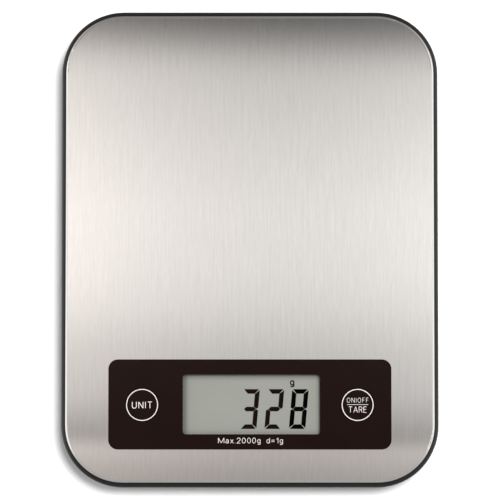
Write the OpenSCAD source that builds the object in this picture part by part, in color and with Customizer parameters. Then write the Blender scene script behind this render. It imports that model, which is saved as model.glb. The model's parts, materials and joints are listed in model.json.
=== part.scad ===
// Kitchen scale: slim steel-topped platform scale with four sensing feet.
// Millimetres. Origin at the middle of the underside, +X right, +Y back, +Z up; the display is at -Y.

/* [Casing] */
// Width of the casing, side to side
body_w = 146; // [144:1:160]
// Depth of the casing, front to back
body_d = 184.5; // [182:0.5:200]
// Radius of the casing's corners, seen from above
corner_r = 24; // [23:1:26]
// Height from the table to the top of the steel
body_h = 18; // [18:0.5:18]
// Wall thickness of the lower casing
wall = 1.8; // [1.6:0.1:2.0]

/* [Steel platform] */
// How far the steel stands in from the casing's outline
plate_inset = 1.9; // [1.8:0.1:2.2]
// How much further in the steel stands at the front and the back
plate_end_inset = 0.25; // [0:0.05:0.3]
// Thickness of the steel sheet
plate_t = 0.5; // [0.4:0.1:0.5]
// Outer radius of the steel's turned-down edge
plate_edge_r = 1; // [0.8:0.1:1.2]
// Height of the steel's turned-down skirt
plate_skirt = 2.4; // [2:0.1:2.4]

/* [Display] */
// Width of the dark display panel
panel_w = 108.5; // [106:0.5:112]
// Depth of the dark display panel, front to back
panel_d = 34.2; // [32:0.1:36]
// Corner radius of the display panel
panel_r = 3.5; // [2:0.5:5]
// Distance from the middle of the scale to the middle of the panel, towards the front
panel_y = 60.1; // [58:0.1:62]
// Width of the clear window
window_w = 52.8; // [48:0.1:54]
// Depth of the clear window
window_d = 23; // [20:0.1:24]

/* [Keys] */
// Diameter of a key's cap
key_dia = 12.9; // [11:0.1:13.5]
// Distance from the middle of the scale to the middle of a key
key_x = 41.45; // [40:0.05:43]
// Clearance round a key, on its radius
key_gap = 0.2; // [0.15:0.05:0.3]
// Travel of a key from rest to its click
key_travel = 0.3; // [0.2:0.05:0.4]

/* [Feet] */
// Distance from the middle of the scale to a foot, side to side
foot_x = 49; // [48:0.5:50]
// Distance from the middle of the scale to a foot, front to back
foot_y = 67; // [66:0.5:68]
// Diameter of a foot's cap
foot_dia = 20; // [18:0.5:20]
// Diameter of the rubber pad under a foot
pad_dia = 17; // [14:0.5:17]

/* [Batteries] */
// Length of a cell with its button
cell_l = 44.5; // [44:0.1:44.5]
// Diameter of a cell
cell_dia = 10.5; // [10:0.1:10.5]
// Distance from the middle of the scale to the middle of the battery box, towards the back
box_y = 8; // [6:1:10]

/* [Hidden] */
$fn = 96;

// Heights of the steel platform and what it sits on
plate_z = body_h - plate_t;
adhesive_t = 0.1;
deck_top = plate_z - adhesive_t;
deck_t = 1.7;
deck_z = deck_top - deck_t;

// Upper casing: outer wall, rounded shoulder and the upstand that carries the deck
shoulder_r = 3;
shoulder_z = 12.4;
upper_wall = 2;
upstand_in = 2.8;
upstand_out = 4.6;
split_z = 8.65;
split_gap = 0.3;

// Lower casing: a quarter-round side that runs into a flat floor
floor_z = 2.2;
floor_top = floor_z + wall;
side_r = 6;
side_z = floor_z + side_r;
lip_in = 2.15;
lip_out = 3.4;
lip_top = 10.9;

// Display panel, its pocket in the deck and the clear window
fit = 0.2;
panel_t = 1;
panel_top = body_h - 0.05;
panel_z = panel_top - panel_t;
pocket_z = panel_z - adhesive_t;
window_r = 1.2;
window_x = 0.6;
window_y = -60.05;
window_rim = 1.6;
window_rim_t = 0.4;
deck_opening_extra = 2.2;

// Display glass and the parts that hold it
glass_w = 58;
glass_d = 27.6;
film_t = 0.2;
lcd_top = deck_z - 0.1;
lcd_z = 13.4;
lcd_frame_wall = 1.2;
lcd_frame_top = 15.5;
zebra_w = 54;
zebra_d = 2.2;
zebra_y = 12.4;

// Circuit board, which hangs under the deck on four posts
pcb_w = 106;
pcb_d = 31;
pcb_t = 1.6;
pcb_top = 12;
pcb_z = pcb_top - pcb_t;
pcb_y = -59.9;
post_x = 50;
post_dy = 12.3;
post_dia = 5;
pcb_hole = 2.4;

// Keys and the switches under them
key_y = -60.25;
flange_dia = 15.2;
flange_t = 0.6;
flange_top = deck_z - 0.05;
key_z = flange_top - flange_t;
switch_side = 6;
switch_top = 14.4;
plunger_dia = 3.4;
plunger_bore = 3.7;
plunger_len = 1.45;
plunger_floor = key_z - plunger_len - key_travel - 0.1;
notch_w = 2;
notch_y = 6.5;

// Battery box, its door and the cells
box_l = 51;
box_w = 22.5;
box_wall = 1.5;
box_top = 15.6;
box_ceiling = 14.6;
door_l = 55;
door_w = 26;
door_r = 1.5;
door_t = 1.4;
door_gap = 0.2;
seat_l = 59;
seat_w = 30;
seat_top = 5.2;
tongue_w = 5;
tongue_y = 8;
tongue_reach = 1.8;
cell_z = 9.1;
cell_dy = 5.6;
cell_tip = 24;
button_l = 1.2;
contact_t = 0.3;
contact_z = 5.6;
contact_top = 13.2;
tab_l = 4;

// Load cells, feet and screws
load_cell_side = 28;
load_cell_z = 7;
load_cell_t = 1.2;
load_cell_top = load_cell_z + load_cell_t;
beam_w = 11;
beam_root = -9;
beam_end = 5;
slot_w = 1.5;
boss_at = 11;
gauge_y = -6.4;
gauge_t = 0.15;
foot_hole = foot_dia + 1;
pad_t = 1.2;
foot_top = 4.4;
stem_dia = 7;
pin_dia = 4;
pin_top = 9.1;
retainer_dia = 8;
retainer_t = 0.6;
corners = [[-1, -1], [1, -1], [-1, 1], [1, 1]];
housing_screw_at = [[-62, 0], [62, 0], [-25, -83], [25, -83], [-25, 83], [25, 83]];
screw_seat = 5.2;
screw_boss_top = 8.8;

// Wires: routes for the right-hand side, from the sensor or contact to the circuit board
wire_r = 0.45;
wire_pitch = 1.2;
back_route = [[49, 60.6, 8.55], [49, 60.6, 9.2], [48.6, 57, 9.8], [44, 44, 9.6], [40.5, 20, 9.5],
              [40.5, -10, 9.5], [40.5, -34, 9.6], [40.2, -40.5, 10.4], [40, -43, 12.2],
              [40, -45.2, 13], [40, -46.4, 12.7], [40, -46.4, 12.1]];
front_route = [[49, -60.6, 8.55], [49, -60.6, 9.2], [48, -57, 9.7], [45.6, -50, 9.3], [45, -44, 9.4],
               [45, -42.2, 11], [45, -43.6, 12.8], [45, -45.4, 13.1], [45, -46.4, 12.8],
               [45, -46.4, 12.1]];
positive_route = [[28.4, 13.6, 12.75], [28.4, 13.6, 12], [29.4, 11, 10.8], [32.4, 0, 10.6],
                  [34.4, -20, 10.6], [34.4, -38, 10.6], [34.2, -42.6, 11.6], [34, -44.8, 13],
                  [34, -46.4, 12.7], [34, -46.4, 12.1]];
negative_route = [[28.4, 2.4, 12.75], [28.4, 2.4, 12], [29, 0.6, 10.8], [31, -8, 10.6],
                  [32.4, -22, 10.6], [32.4, -38, 10.6], [32.2, -42.6, 11.6], [32.2, -44.8, 13],
                  [32.2, -46.4, 12.7], [32.2, -46.4, 12.1]];

// Rounded rectangle with true arcs at its corners
module plan(w, d, r) {
    square([w - 2 * r, d], center = true);
    square([w, d - 2 * r], center = true);
    for (x = [-1, 1], y = [-1, 1])
        translate([x * (w / 2 - r), y * (d / 2 - r)])
            circle(r = r);
}

// Upright block with a rounded plan, from height z0 to z1
module slab(w, d, r, z0, z1) {
    translate([0, 0, z0])
        linear_extrude(z1 - z0)
            plan(w, d, r);
}

// Upright cylinder from height z0 to z1
module rod(dia, z0, z1) {
    translate([0, 0, z0])
        cylinder(h = z1 - z0, d = dia);
}

// Rectangle between two corners, for the profiles below
module area(x0, y0, x1, y1) {
    translate([x0, y0])
        square([x1 - x0, y1 - y0]);
}

// Carries a profile round an outline as wide as the casing: x is the distance in from it, y the height
module round_outline(depth = body_d) {
    for (mx = [0, 1], my = [0, 1])
        mirror([mx, 0, 0])
            mirror([0, my, 0])
                translate([body_w / 2 - corner_r, depth / 2 - corner_r, 0])
                    rotate_extrude(angle = 90)
                        translate([corner_r, 0])
                            mirror([1, 0])
                                children();
    for (side = [0 : 3]) {
        across = side % 2 == 0 ? body_w : depth;
        along = side % 2 == 0 ? depth : body_w;
        rotate([0, 0, 90 * side])
            translate([across / 2, 0, 0])
                rotate([90, 0, 0])
                    linear_extrude(along - 2 * corner_r, center = true)
                        mirror([1, 0])
                            children();
    }
}

// Casing outline moved in by a distance, as a block
module inner_slab(inset, z0, z1) {
    slab(body_w - 2 * inset, body_d - 2 * inset, corner_r - inset, z0, z1);
}

// Repeats what is at the right-hand key for both keys
module at_key(side) {
    translate([side * key_x, key_y, 0])
        children();
}

module at_corner(corner) {
    translate([corner[0] * foot_x, corner[1] * foot_y, 0])
        mirror([corner[0] < 0 ? 1 : 0, 0, 0])
            mirror([0, corner[1] < 0 ? 1 : 0, 0])
                children();
}

// Smooth curve through hand-placed points, and a tube along it
function unit(v) = v / norm(v);
function between(a, b, c, d, t) =
    0.5 * (2 * b + (c - a) * t + (2 * a - 5 * b + 4 * c - d) * t * t
    + (3 * b - a - 3 * c + d) * t * t * t);
function through(points, steps) = concat(
    [for (i = [0 : len(points) - 2], k = [0 : steps - 1])
        between(points[max(i - 1, 0)], points[i], points[i + 1],
                points[min(i + 2, len(points) - 1)], k / steps)],
    [points[len(points) - 1]]);
function heading(path, i) = unit(path[min(i + 1, len(path) - 1)] - path[max(i - 1, 0)]);
function ring(path, i, r, sides) =
    let (t = heading(path, i), u = unit(cross(t, [1, 0, 0])), v = cross(t, u))
    [for (s = [0 : sides - 1]) path[i] + r * (cos(360 * s / sides) * u + sin(360 * s / sides) * v)];

module tube(path, r, sides) {
    last = len(path) - 1;
    skin = [for (i = [0 : last - 1], s = [0 : sides - 1])
        [i * sides + s, (i + 1) * sides + s,
         (i + 1) * sides + (s + 1) % sides, i * sides + (s + 1) % sides]];
    start_cap = [for (s = [0 : sides - 1]) s];
    end_cap = [for (s = [0 : sides - 1]) last * sides + sides - 1 - s];
    polyhedron([for (i = [0 : last]) each ring(path, i, r, sides)], concat(skin, [start_cap, end_cap]));
}

// Conical coil spring along +X from the contact plate to the flat end of a cell
function coil(turns, x0, x1, r0, r1) =
    [for (i = [0 : turns * 12])
        let (t = i / (turns * 12), r = r0 + (r1 - r0) * t)
        [x0 + (x1 - x0) * t, r * cos(30 * i), r * sin(30 * i)]];

module contact_spring() {
    wire = 0.35;
    tube(coil(4, 0, box_l / 2 - contact_t - cell_l + cell_tip - wire - 0.05, 3.8, 2.6), wire, 8);
}

// ---- Platform -----------------------------------------------------------------------------

module panel_cut(z0, z1) {
    translate([0, -panel_y, 0])
        slab(panel_w + 2 * fit, panel_d + 2 * fit, panel_r + fit, z0, z1);
}

module top_plate() {
    edge_x = plate_inset + plate_edge_r;
    edge_z = body_h - plate_edge_r;
    depth = body_d - 2 * plate_end_inset;
    color("#dcd8d3") {
        round_outline(depth) {
            area(plate_inset, body_h - plate_skirt, plate_inset + plate_t, edge_z);
            intersection() {
                area(plate_inset, edge_z, edge_x, body_h);
                difference() {
                    translate([edge_x, edge_z])
                        circle(r = plate_edge_r);
                    translate([edge_x, edge_z])
                        circle(r = plate_edge_r - plate_t);
                }
            }
        }
        difference() {
            slab(body_w - 2 * edge_x, depth - 2 * edge_x, corner_r - edge_x, plate_z, body_h);
            panel_cut(plate_z - 1, body_h + 1);
        }
    }
}

module plate_adhesive() {
    margin = 3;
    color("#e8e2c8")
        difference() {
            inner_slab(upstand_out + margin, deck_top, plate_z);
            translate([0, -panel_y, 0])
                slab(panel_w + 2 * margin, panel_d + 2 * margin, panel_r + margin, deck_top - 1, plate_z + 1);
        }
}

module top_cover() {
    rib_z = 13.6;
    rib_t = 1.2;
    color("#3c3a3b")
        difference() {
            union() {
                round_outline() {
                    area(0, split_z + split_gap, upper_wall, shoulder_z);
                    intersection() {
                        area(0, shoulder_z, shoulder_r, shoulder_z + shoulder_r);
                        translate([shoulder_r, shoulder_z])
                            circle(r = shoulder_r);
                    }
                    area(upstand_in, shoulder_z, upstand_out, deck_top);
                }
                inner_slab(upstand_out, deck_z, deck_top);
                for (x = [-1, 1], y = [-1, 1])
                    translate([x * post_x, pcb_y + y * post_dy, 0])
                        rod(post_dia, pcb_top, deck_z);
                for (at = housing_screw_at)
                    translate([at[0], at[1], 0])
                        rod(7, screw_boss_top, deck_z);
                for (x = [-1, 1])
                    translate([x * 34 - rib_t / 2, -36, rib_z])
                        cube([rib_t, 116, deck_z - rib_z]);
                for (y = [-35, 40, 66])
                    translate([-66, y, rib_z])
                        cube([132, rib_t, deck_z - rib_z]);
                for (side = [-1, 1])
                    at_key(side)
                        translate([-(notch_w - 0.5) / 2, notch_y + 0.25, key_z - 0.4])
                            cube([notch_w - 0.5, 1.5, deck_z - key_z + 0.4]);
            }
            panel_cut(pocket_z, deck_top + 1);
            translate([window_x, window_y, 0])
                slab(window_w + deck_opening_extra, window_d + deck_opening_extra, window_r, deck_z - 1, deck_top);
            for (side = [-1, 1])
                at_key(side)
                    rod(key_dia + 2 * key_gap, deck_z - 1, deck_top);
            for (x = [-1, 1], y = [-1, 1])
                translate([x * post_x, pcb_y + y * post_dy, 0])
                    rod(1.7, pcb_top - 1, deck_z - 0.5);
            for (at = housing_screw_at)
                translate([at[0], at[1], 0])
                    rod(2.6, screw_boss_top - 1, deck_z - 1);
        }
}

// ---- Display and keys ---------------------------------------------------------------------

module display_panel() {
    color("#221816")
        difference() {
            translate([0, -panel_y, 0])
                slab(panel_w, panel_d, panel_r, panel_z, panel_top);
            translate([window_x, window_y, 0])
                slab(window_w, window_d, window_r, panel_z - 1, panel_top + 1);
            translate([window_x, window_y, 0])
                slab(window_w + 2 * window_rim, window_d + 2 * window_rim, window_r + window_rim,
                     panel_z - 1, panel_z + window_rim_t);
            for (side = [-1, 1])
                at_key(side)
                    rod(key_dia + 2 * key_gap, panel_z - 1, panel_top + 1);
        }
}

module display_window() {
    clear = 0.05;
    color("#cfd4cc", 0.4)
        translate([window_x, window_y, 0]) {
            slab(window_w - 2 * clear, window_d - 2 * clear, window_r - clear, panel_z, panel_top);
            slab(window_w + 2 * window_rim - 0.4, window_d + 2 * window_rim - 0.4, window_r + window_rim - 0.2,
                 panel_z, panel_z + window_rim_t);
        }
}

module panel_adhesive() {
    margin = 1.5;
    color("#e8e2c8")
        difference() {
            translate([0, -panel_y, 0])
                slab(panel_w - 2 * margin, panel_d - 2 * margin, panel_r - margin, pocket_z, panel_z);
            translate([window_x, window_y, 0])
                slab(window_w + 2 * window_rim + 1, window_d + 2 * window_rim + 1, window_r + window_rim,
                     pocket_z - 1, panel_z + 1);
            for (side = [-1, 1])
                at_key(side)
                    rod(key_dia + 2 * margin, pocket_z - 1, panel_z + 1);
        }
}

module lcd_polarizer() {
    color("#a2a49c")
        translate([window_x, window_y, 0])
            slab(glass_w - 2, glass_d - 2, 0.5, lcd_top - film_t, lcd_top);
}

module lcd_glass() {
    color("#b8bdb4")
        translate([window_x, window_y, 0])
            slab(glass_w, glass_d, 0.5, lcd_z + film_t, lcd_top - film_t);
}

module lcd_reflector() {
    color("#8f938b")
        translate([window_x, window_y, 0])
            slab(glass_w - 2, 2 * zebra_y - zebra_d - 1, 0.5, lcd_z, lcd_z + film_t);
}

module lcd_frame() {
    rim = lcd_frame_wall + 0.1;
    color("#e6e4de")
        translate([window_x, window_y, 0])
            difference() {
                slab(glass_w + 2 * rim, glass_d + 2 * rim, 1, pcb_top, lcd_frame_top);
                slab(glass_w + 0.2, glass_d + 0.2, 0.6, pcb_top - 1, lcd_frame_top + 1);
            }
}

module zebra_strips() {
    color("#d77f86")
        for (side = [-1, 1])
            translate([window_x, window_y + side * zebra_y, 0])
                slab(zebra_w, zebra_d, 0.3, pcb_top, lcd_z + film_t);
}

module main_pcb() {
    color("#2f6b45")
        difference() {
            translate([0, pcb_y, 0])
                slab(pcb_w, pcb_d, 1.5, pcb_z, pcb_top);
            for (x = [-1, 1], y = [-1, 1])
                translate([x * post_x, pcb_y + y * post_dy, 0])
                    rod(pcb_hole, pcb_z - 1, pcb_top + 1);
        }
}

module controller_blob() {
    color("#151515")
        translate([-8, pcb_y, pcb_z - 1.2])
            cylinder(h = 1.2, d1 = 9, d2 = 12);
}

// Chip parts on the underside of the circuit board: two rows of resistors, a crystal and a capacitor
module smd_components() {
    color("#b09a78") {
        for (i = [0 : 6], row = [0, 1])
            translate([4 + i * 3.2, pcb_y - 6 + row * 12, pcb_z - 0.5])
                cube([1.6, 0.8, 0.5]);
        translate([-24, pcb_y + 4, pcb_z - 1.2])
            cube([7, 3, 1.2]);
        translate([-24, pcb_y - 7, pcb_z - 1.6])
            cube([4.5, 4.5, 1.6]);
    }
}

module pcb_screws() {
    head_t = 0.8;
    color("#9a9a9a")
        for (x = [-1, 1], y = [-1, 1])
            translate([x * post_x, pcb_y + y * post_dy, 0]) {
                difference() {
                    rod(3.6, pcb_z - head_t, pcb_z);
                    cross_slot(1.8, 0.4, pcb_z - head_t, 0.4);
                }
                rod(1.6, pcb_z, pcb_top + 2.4);
            }
}

// Cross recess for a screw's head, cut upwards from height z
module cross_slot(across, w, z, depth) {
    for (turn = [0, 90])
        rotate([0, 0, turn])
            translate([-across / 2, -w / 2, z - 1])
                cube([across, w, depth + 1]);
}

module key(side) {
    color("#221816")
        at_key(side) {
            rod(key_dia, flange_top, panel_top);
            difference() {
                rod(flange_dia, key_z, flange_top);
                translate([-notch_w / 2, notch_y, key_z - 1])
                    cube([notch_w, 4, flange_t + 2]);
            }
        }
}

module key_switch(side) {
    leg = 0.9;
    color("#1d1d1f")
        at_key(side)
            difference() {
                union() {
                    slab(switch_side, switch_side, 0.5, pcb_top, switch_top);
                    for (x = [-1, 1], y = [-1, 1])
                        translate([x * (switch_side + leg) / 2 - leg / 2, y * 2.2 - 0.35, pcb_top])
                            cube([leg, 0.7, 0.3]);
                }
                rod(plunger_bore, plunger_floor, switch_top + 1);
            }
}

module key_plunger(side) {
    color("#e8e4da")
        at_key(side)
            rod(plunger_dia, key_z - plunger_len, key_z);
}

// ---- Lower casing -------------------------------------------------------------------------

module bottom_cover() {
    color("#3c3a3b")
        difference() {
            union() {
                round_outline() {
                    intersection() {
                        area(0, floor_z, side_r, side_z);
                        difference() {
                            translate([side_r, side_z])
                                circle(r = side_r);
                            translate([side_r, side_z])
                                circle(r = side_r - wall);
                        }
                    }
                    area(0, side_z, wall, split_z);
                    area(wall - 0.3, side_z - 0.8, lip_out, split_z);
                    area(lip_in, split_z - 0.2, lip_out, lip_top);
                }
                inner_slab(side_r, floor_z, floor_top);
                for (corner = corners)
                    at_corner(corner) {
                        rod(foot_hole + 3, floor_z, 6);
                        for (x = [-1, 1], y = [-1, 1])
                            translate([x * boss_at, y * boss_at, 0])
                                rod(5.5, floor_z, load_cell_z);
                    }
                for (at = housing_screw_at)
                    translate([at[0], at[1], 0])
                        rod(8.5, floor_z, screw_boss_top);
                translate([0, box_y, 0]) {
                    slab(seat_l, seat_w, 2, floor_z, seat_top);
                    slab(box_l + 2 * box_wall, box_w + 2 * box_wall, 1, floor_z, box_top);
                }
                floor_ribs();
            }
            for (corner = corners)
                at_corner(corner) {
                    rod(foot_hole, floor_z - 1, 7);
                    for (side = [-1, 1])
                        translate([side * boss_at, -side * boss_at, 0])
                            rod(1.7, floor_top, load_cell_z + 1);
                }
            for (at = housing_screw_at)
                translate([at[0], at[1], 0]) {
                    rod(6, floor_z - 1, screw_seat);
                    rod(2.8, floor_z - 1, screw_boss_top + 1);
                }
            translate([0, box_y, 0])
                battery_room();
        }
}

// Low ribs that stiffen the floor between the battery box and the feet
module floor_ribs() {
    rib_t = 1.2;
    rib_top = 6;
    for (side = [-1, 1]) {
        translate([-66, side * 44 - rib_t / 2, floor_z])
            cube([132, rib_t, rib_top - floor_z]);
        translate([side * 32 - rib_t / 2, -78, floor_z])
            cube([rib_t, 156, rib_top - floor_z]);
    }
}

// What is cut for the cells, the door, its two tongues and the finger notch
module battery_room() {
    slab(box_l, box_w, 0.5, floor_z - 1, box_ceiling);
    slab(door_l + 2 * door_gap, door_w + 2 * door_gap, door_r + door_gap, floor_z - 1,
         floor_z + door_t + 0.05);
    for (side = [-1, 1])
        translate([-seat_l / 2 - 1, side * tongue_y - tongue_w / 2 - 0.25, floor_z + door_t + 0.05])
            cube([seat_l / 2 - box_l / 2 + 2, tongue_w + 0.5, 2.6]);
    translate([box_l / 2 - 1, cell_dy - 2.6, contact_top - contact_t - 0.1])
        cube([4, 5.2, contact_t + 0.2]);
    translate([box_l / 2 - 1, -cell_dy - 2.6, contact_top - contact_t - 0.1])
        cube([4, 5.2, contact_t + 0.2]);
    translate([door_l / 2 + 1.5, 0, floor_z - 1])
        cylinder(h = 2.2, d = 12);
}

module housing_screws() {
    head_t = 1.8;
    color("#9a9a9a")
        for (at = housing_screw_at)
            translate([at[0], at[1], 0]) {
                difference() {
                    rod(5.2, screw_seat - head_t, screw_seat);
                    cross_slot(3, 0.6, screw_seat - head_t, 1);
                }
                rod(2.5, screw_seat, screw_boss_top + 5.2);
            }
}

module battery_door() {
    grooves = 5;
    tongue_z = floor_z + door_t + 0.15;
    color("#3c3a3b")
        translate([0, box_y, 0])
            difference() {
                union() {
                    slab(door_l, door_w, door_r, floor_z, floor_z + door_t);
                    for (side = [-1, 1]) {
                        translate([-door_l / 2, side * tongue_y - tongue_w / 2, floor_z])
                            cube([1.4, tongue_w, 2.5]);
                        translate([-door_l / 2 - tongue_reach, side * tongue_y - tongue_w / 2, tongue_z])
                            cube([tongue_reach + 1.4, tongue_w, floor_z + 2.5 - tongue_z]);
                    }
                }
                for (i = [0 : grooves - 1])
                    translate([door_l / 2 - 3 - 1.6 * i, -4, floor_z - 1])
                        cube([0.7, 8, 1.35]);
                for (side = [-1, 1])
                    translate([door_l / 2 - 10, side * 5.5 - 0.4, floor_z - 1])
                        cube([11, 0.8, door_t + 2]);
            }
}

// ---- Batteries and their contacts ---------------------------------------------------------

// A cell lying along X with its button end at +X, its tip at the contact
module cell() {
    body_l = cell_l - button_l;
    shoulder = 0.6;
    translate([cell_tip - cell_l, 0, cell_z])
        rotate([0, 90, 0]) {
            cylinder(h = shoulder, d1 = cell_dia - 1.2, d2 = cell_dia);
            translate([0, 0, shoulder])
                cylinder(h = body_l - 2 * shoulder, d = cell_dia);
            translate([0, 0, body_l - shoulder])
                cylinder(h = shoulder, d1 = cell_dia, d2 = cell_dia - 1.2);
            translate([0, 0, body_l])
                cylinder(h = button_l, d = 3.8);
        }
}

module battery_cell_1() {
    color("#2f6f9f")
        translate([0, box_y + cell_dy, 0])
            cell();
}

module battery_cell_2() {
    color("#2f6f9f")
        translate([0, box_y - cell_dy, 0])
            mirror([1, 0, 0])
                cell();
}

// Flat plate against the box's end wall at -X, and the dimple that meets a button
module contact_plate(y0, y1) {
    translate([-box_l / 2, y0, contact_z])
        cube([contact_t, y1 - y0, contact_top - contact_z]);
}

module contact_dimple() {
    translate([-box_l / 2 + contact_t, 0, cell_z])
        rotate([0, 90, 0])
            cylinder(h = box_l / 2 - contact_t - cell_tip - 0.05, d1 = 5, d2 = 2.5);
}

// Solder tab that passes out through the end wall
module contact_tab() {
    translate([-box_l / 2 - tab_l + 0.01, -2.3, contact_top - contact_t])
        cube([tab_l, 4.6, contact_t]);
}

module battery_bridge() {
    color("#c9c9c4")
        translate([0, box_y, 0]) {
            contact_plate(-10, 10);
            translate([0, -cell_dy, 0])
                contact_dimple();
            translate([-box_l / 2 + contact_t, cell_dy, cell_z])
                contact_spring();
        }
}

module battery_positive_contact() {
    color("#c9c9c4")
        translate([0, box_y + cell_dy, 0])
            mirror([1, 0, 0]) {
                contact_plate(-4.4, 4.4);
                contact_dimple();
                contact_tab();
            }
}

module battery_negative_contact() {
    color("#c9c9c4")
        translate([0, box_y - cell_dy, 0])
            mirror([1, 0, 0]) {
                contact_plate(-4.4, 4.4);
                translate([-box_l / 2 + contact_t, 0, cell_z])
                    contact_spring();
                contact_tab();
            }
}

module battery_leads() {
    color("#b03030")
        tube(through(positive_route, 3), wire_r, 8);
    color("#202020")
        tube(through(negative_route, 3), wire_r, 8);
}

// ---- Sensing feet -------------------------------------------------------------------------

// Spring-steel plate whose middle tongue bends when the foot is pushed up
module load_cell(corner) {
    reach = beam_w / 2 + slot_w;
    color("#b7b9bb")
        at_corner(corner)
            difference() {
                slab(load_cell_side, load_cell_side, 3, load_cell_z, load_cell_top);
                for (side = [-1, 1])
                    translate([side > 0 ? beam_w / 2 : -reach, beam_root, load_cell_z - 1])
                        cube([slot_w, beam_end + slot_w - beam_root, load_cell_t + 2]);
                translate([-reach, beam_end, load_cell_z - 1])
                    cube([2 * reach, slot_w, load_cell_t + 2]);
                rod(pin_dia + 0.2, load_cell_z - 1, load_cell_top + 1);
                for (side = [-1, 1])
                    translate([side * boss_at, -side * boss_at, 0])
                        rod(2.4, load_cell_z - 1, load_cell_top + 1);
            }
}

module strain_gauge(corner) {
    color("#c08a3e")
        at_corner(corner)
            translate([-3, gauge_y - 1.6, load_cell_top])
                cube([6, 3.2, gauge_t]);
}

module load_cell_screws() {
    head_t = 1;
    color("#9a9a9a")
        for (corner = corners, side = [-1, 1])
            at_corner(corner)
                translate([side * boss_at, -side * boss_at, 0]) {
                    rod(3.8, load_cell_top, load_cell_top + head_t);
                    rod(1.6, load_cell_top - 3.6, load_cell_top);
                }
}

module foot(corner) {
    edge = 0.6;
    color("#2c2c2e")
        at_corner(corner) {
            translate([0, 0, pad_t])
                cylinder(h = edge, d1 = foot_dia - 2 * edge, d2 = foot_dia);
            rod(foot_dia, pad_t + edge, foot_top);
            rod(stem_dia, foot_top, load_cell_z);
            rod(pin_dia, load_cell_z, pin_top);
        }
}

module foot_pad(corner) {
    edge = 0.4;
    color("#1a1a1a")
        at_corner(corner) {
            cylinder(h = edge, d1 = pad_dia - 2 * edge, d2 = pad_dia);
            rod(pad_dia, edge, pad_t);
        }
}

module foot_retainer(corner) {
    color("#c4c6c8")
        at_corner(corner)
            difference() {
                rod(retainer_dia, load_cell_top, load_cell_top + retainer_t);
                rod(pin_dia, load_cell_top - 1, load_cell_top + retainer_t + 1);
            }
}

// Three wires side by side from a strain gauge to the circuit board
module sensor_wires(corner) {
    route = corner[1] > 0 ? back_route : front_route;
    color("#c8c4bc")
        mirror([corner[0] < 0 ? 1 : 0, 0, 0])
            for (i = [-1 : 1])
                translate([i * wire_pitch, 0, 0])
                    tube(through(route, 2), wire_r, 8);
}

top_plate();
plate_adhesive();
top_cover();
display_panel();
display_window();
panel_adhesive();
lcd_polarizer();
lcd_glass();
lcd_reflector();
lcd_frame();
zebra_strips();
main_pcb();
controller_blob();
smd_components();
pcb_screws();
key(-1);  // unit_key
key(1);  // tare_key
key_switch(-1);  // unit_switch
key_switch(1);  // tare_switch
key_plunger(-1);  // unit_switch_plunger
key_plunger(1);  // tare_switch_plunger
bottom_cover();
housing_screws();
battery_door();
battery_cell_1();
battery_cell_2();
battery_bridge();
battery_positive_contact();
battery_negative_contact();
battery_leads();
load_cell(corners[0]);  // load_cell_front_left
load_cell(corners[1]);  // load_cell_front_right
load_cell(corners[2]);  // load_cell_back_left
load_cell(corners[3]);  // load_cell_back_right
strain_gauge(corners[0]);  // strain_gauge_front_left
strain_gauge(corners[1]);  // strain_gauge_front_right
strain_gauge(corners[2]);  // strain_gauge_back_left
strain_gauge(corners[3]);  // strain_gauge_back_right
load_cell_screws();
foot(corners[0]);  // foot_front_left
foot(corners[1]);  // foot_front_right
foot(corners[2]);  // foot_back_left
foot(corners[3]);  // foot_back_right
foot_pad(corners[0]);  // foot_pad_front_left
foot_pad(corners[1]);  // foot_pad_front_right
foot_pad(corners[2]);  // foot_pad_back_left
foot_pad(corners[3]);  // foot_pad_back_right
foot_retainer(corners[0]);  // foot_retainer_front_left
foot_retainer(corners[1]);  // foot_retainer_front_right
foot_retainer(corners[2]);  // foot_retainer_back_left
foot_retainer(corners[3]);  // foot_retainer_back_right
sensor_wires(corners[0]);  // sensor_wires_front_left
sensor_wires(corners[1]);  // sensor_wires_front_right
sensor_wires(corners[2]);  // sensor_wires_back_left
sensor_wires(corners[3]);  // sensor_wires_back_right
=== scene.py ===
"""Kitchen scale: the looks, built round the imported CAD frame. Metres, +Z up, display at -Y."""

import json
import math

import bmesh
import bpy
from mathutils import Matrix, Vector


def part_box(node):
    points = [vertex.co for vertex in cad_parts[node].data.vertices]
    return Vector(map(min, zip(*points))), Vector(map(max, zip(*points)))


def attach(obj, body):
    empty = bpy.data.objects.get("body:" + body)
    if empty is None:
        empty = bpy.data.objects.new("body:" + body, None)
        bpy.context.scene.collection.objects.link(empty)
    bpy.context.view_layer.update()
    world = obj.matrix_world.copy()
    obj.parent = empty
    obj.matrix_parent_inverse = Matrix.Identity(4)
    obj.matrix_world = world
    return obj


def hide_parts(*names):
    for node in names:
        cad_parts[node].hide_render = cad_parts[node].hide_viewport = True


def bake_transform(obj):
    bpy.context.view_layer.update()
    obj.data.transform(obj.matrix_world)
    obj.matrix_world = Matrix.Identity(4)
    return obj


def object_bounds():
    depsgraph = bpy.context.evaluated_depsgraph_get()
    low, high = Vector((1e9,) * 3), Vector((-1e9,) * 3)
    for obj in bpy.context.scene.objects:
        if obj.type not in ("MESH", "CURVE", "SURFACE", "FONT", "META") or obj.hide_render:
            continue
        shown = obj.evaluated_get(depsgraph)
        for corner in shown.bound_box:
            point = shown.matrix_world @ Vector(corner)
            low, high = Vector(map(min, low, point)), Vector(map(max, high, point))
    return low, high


MM = 0.001

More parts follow.
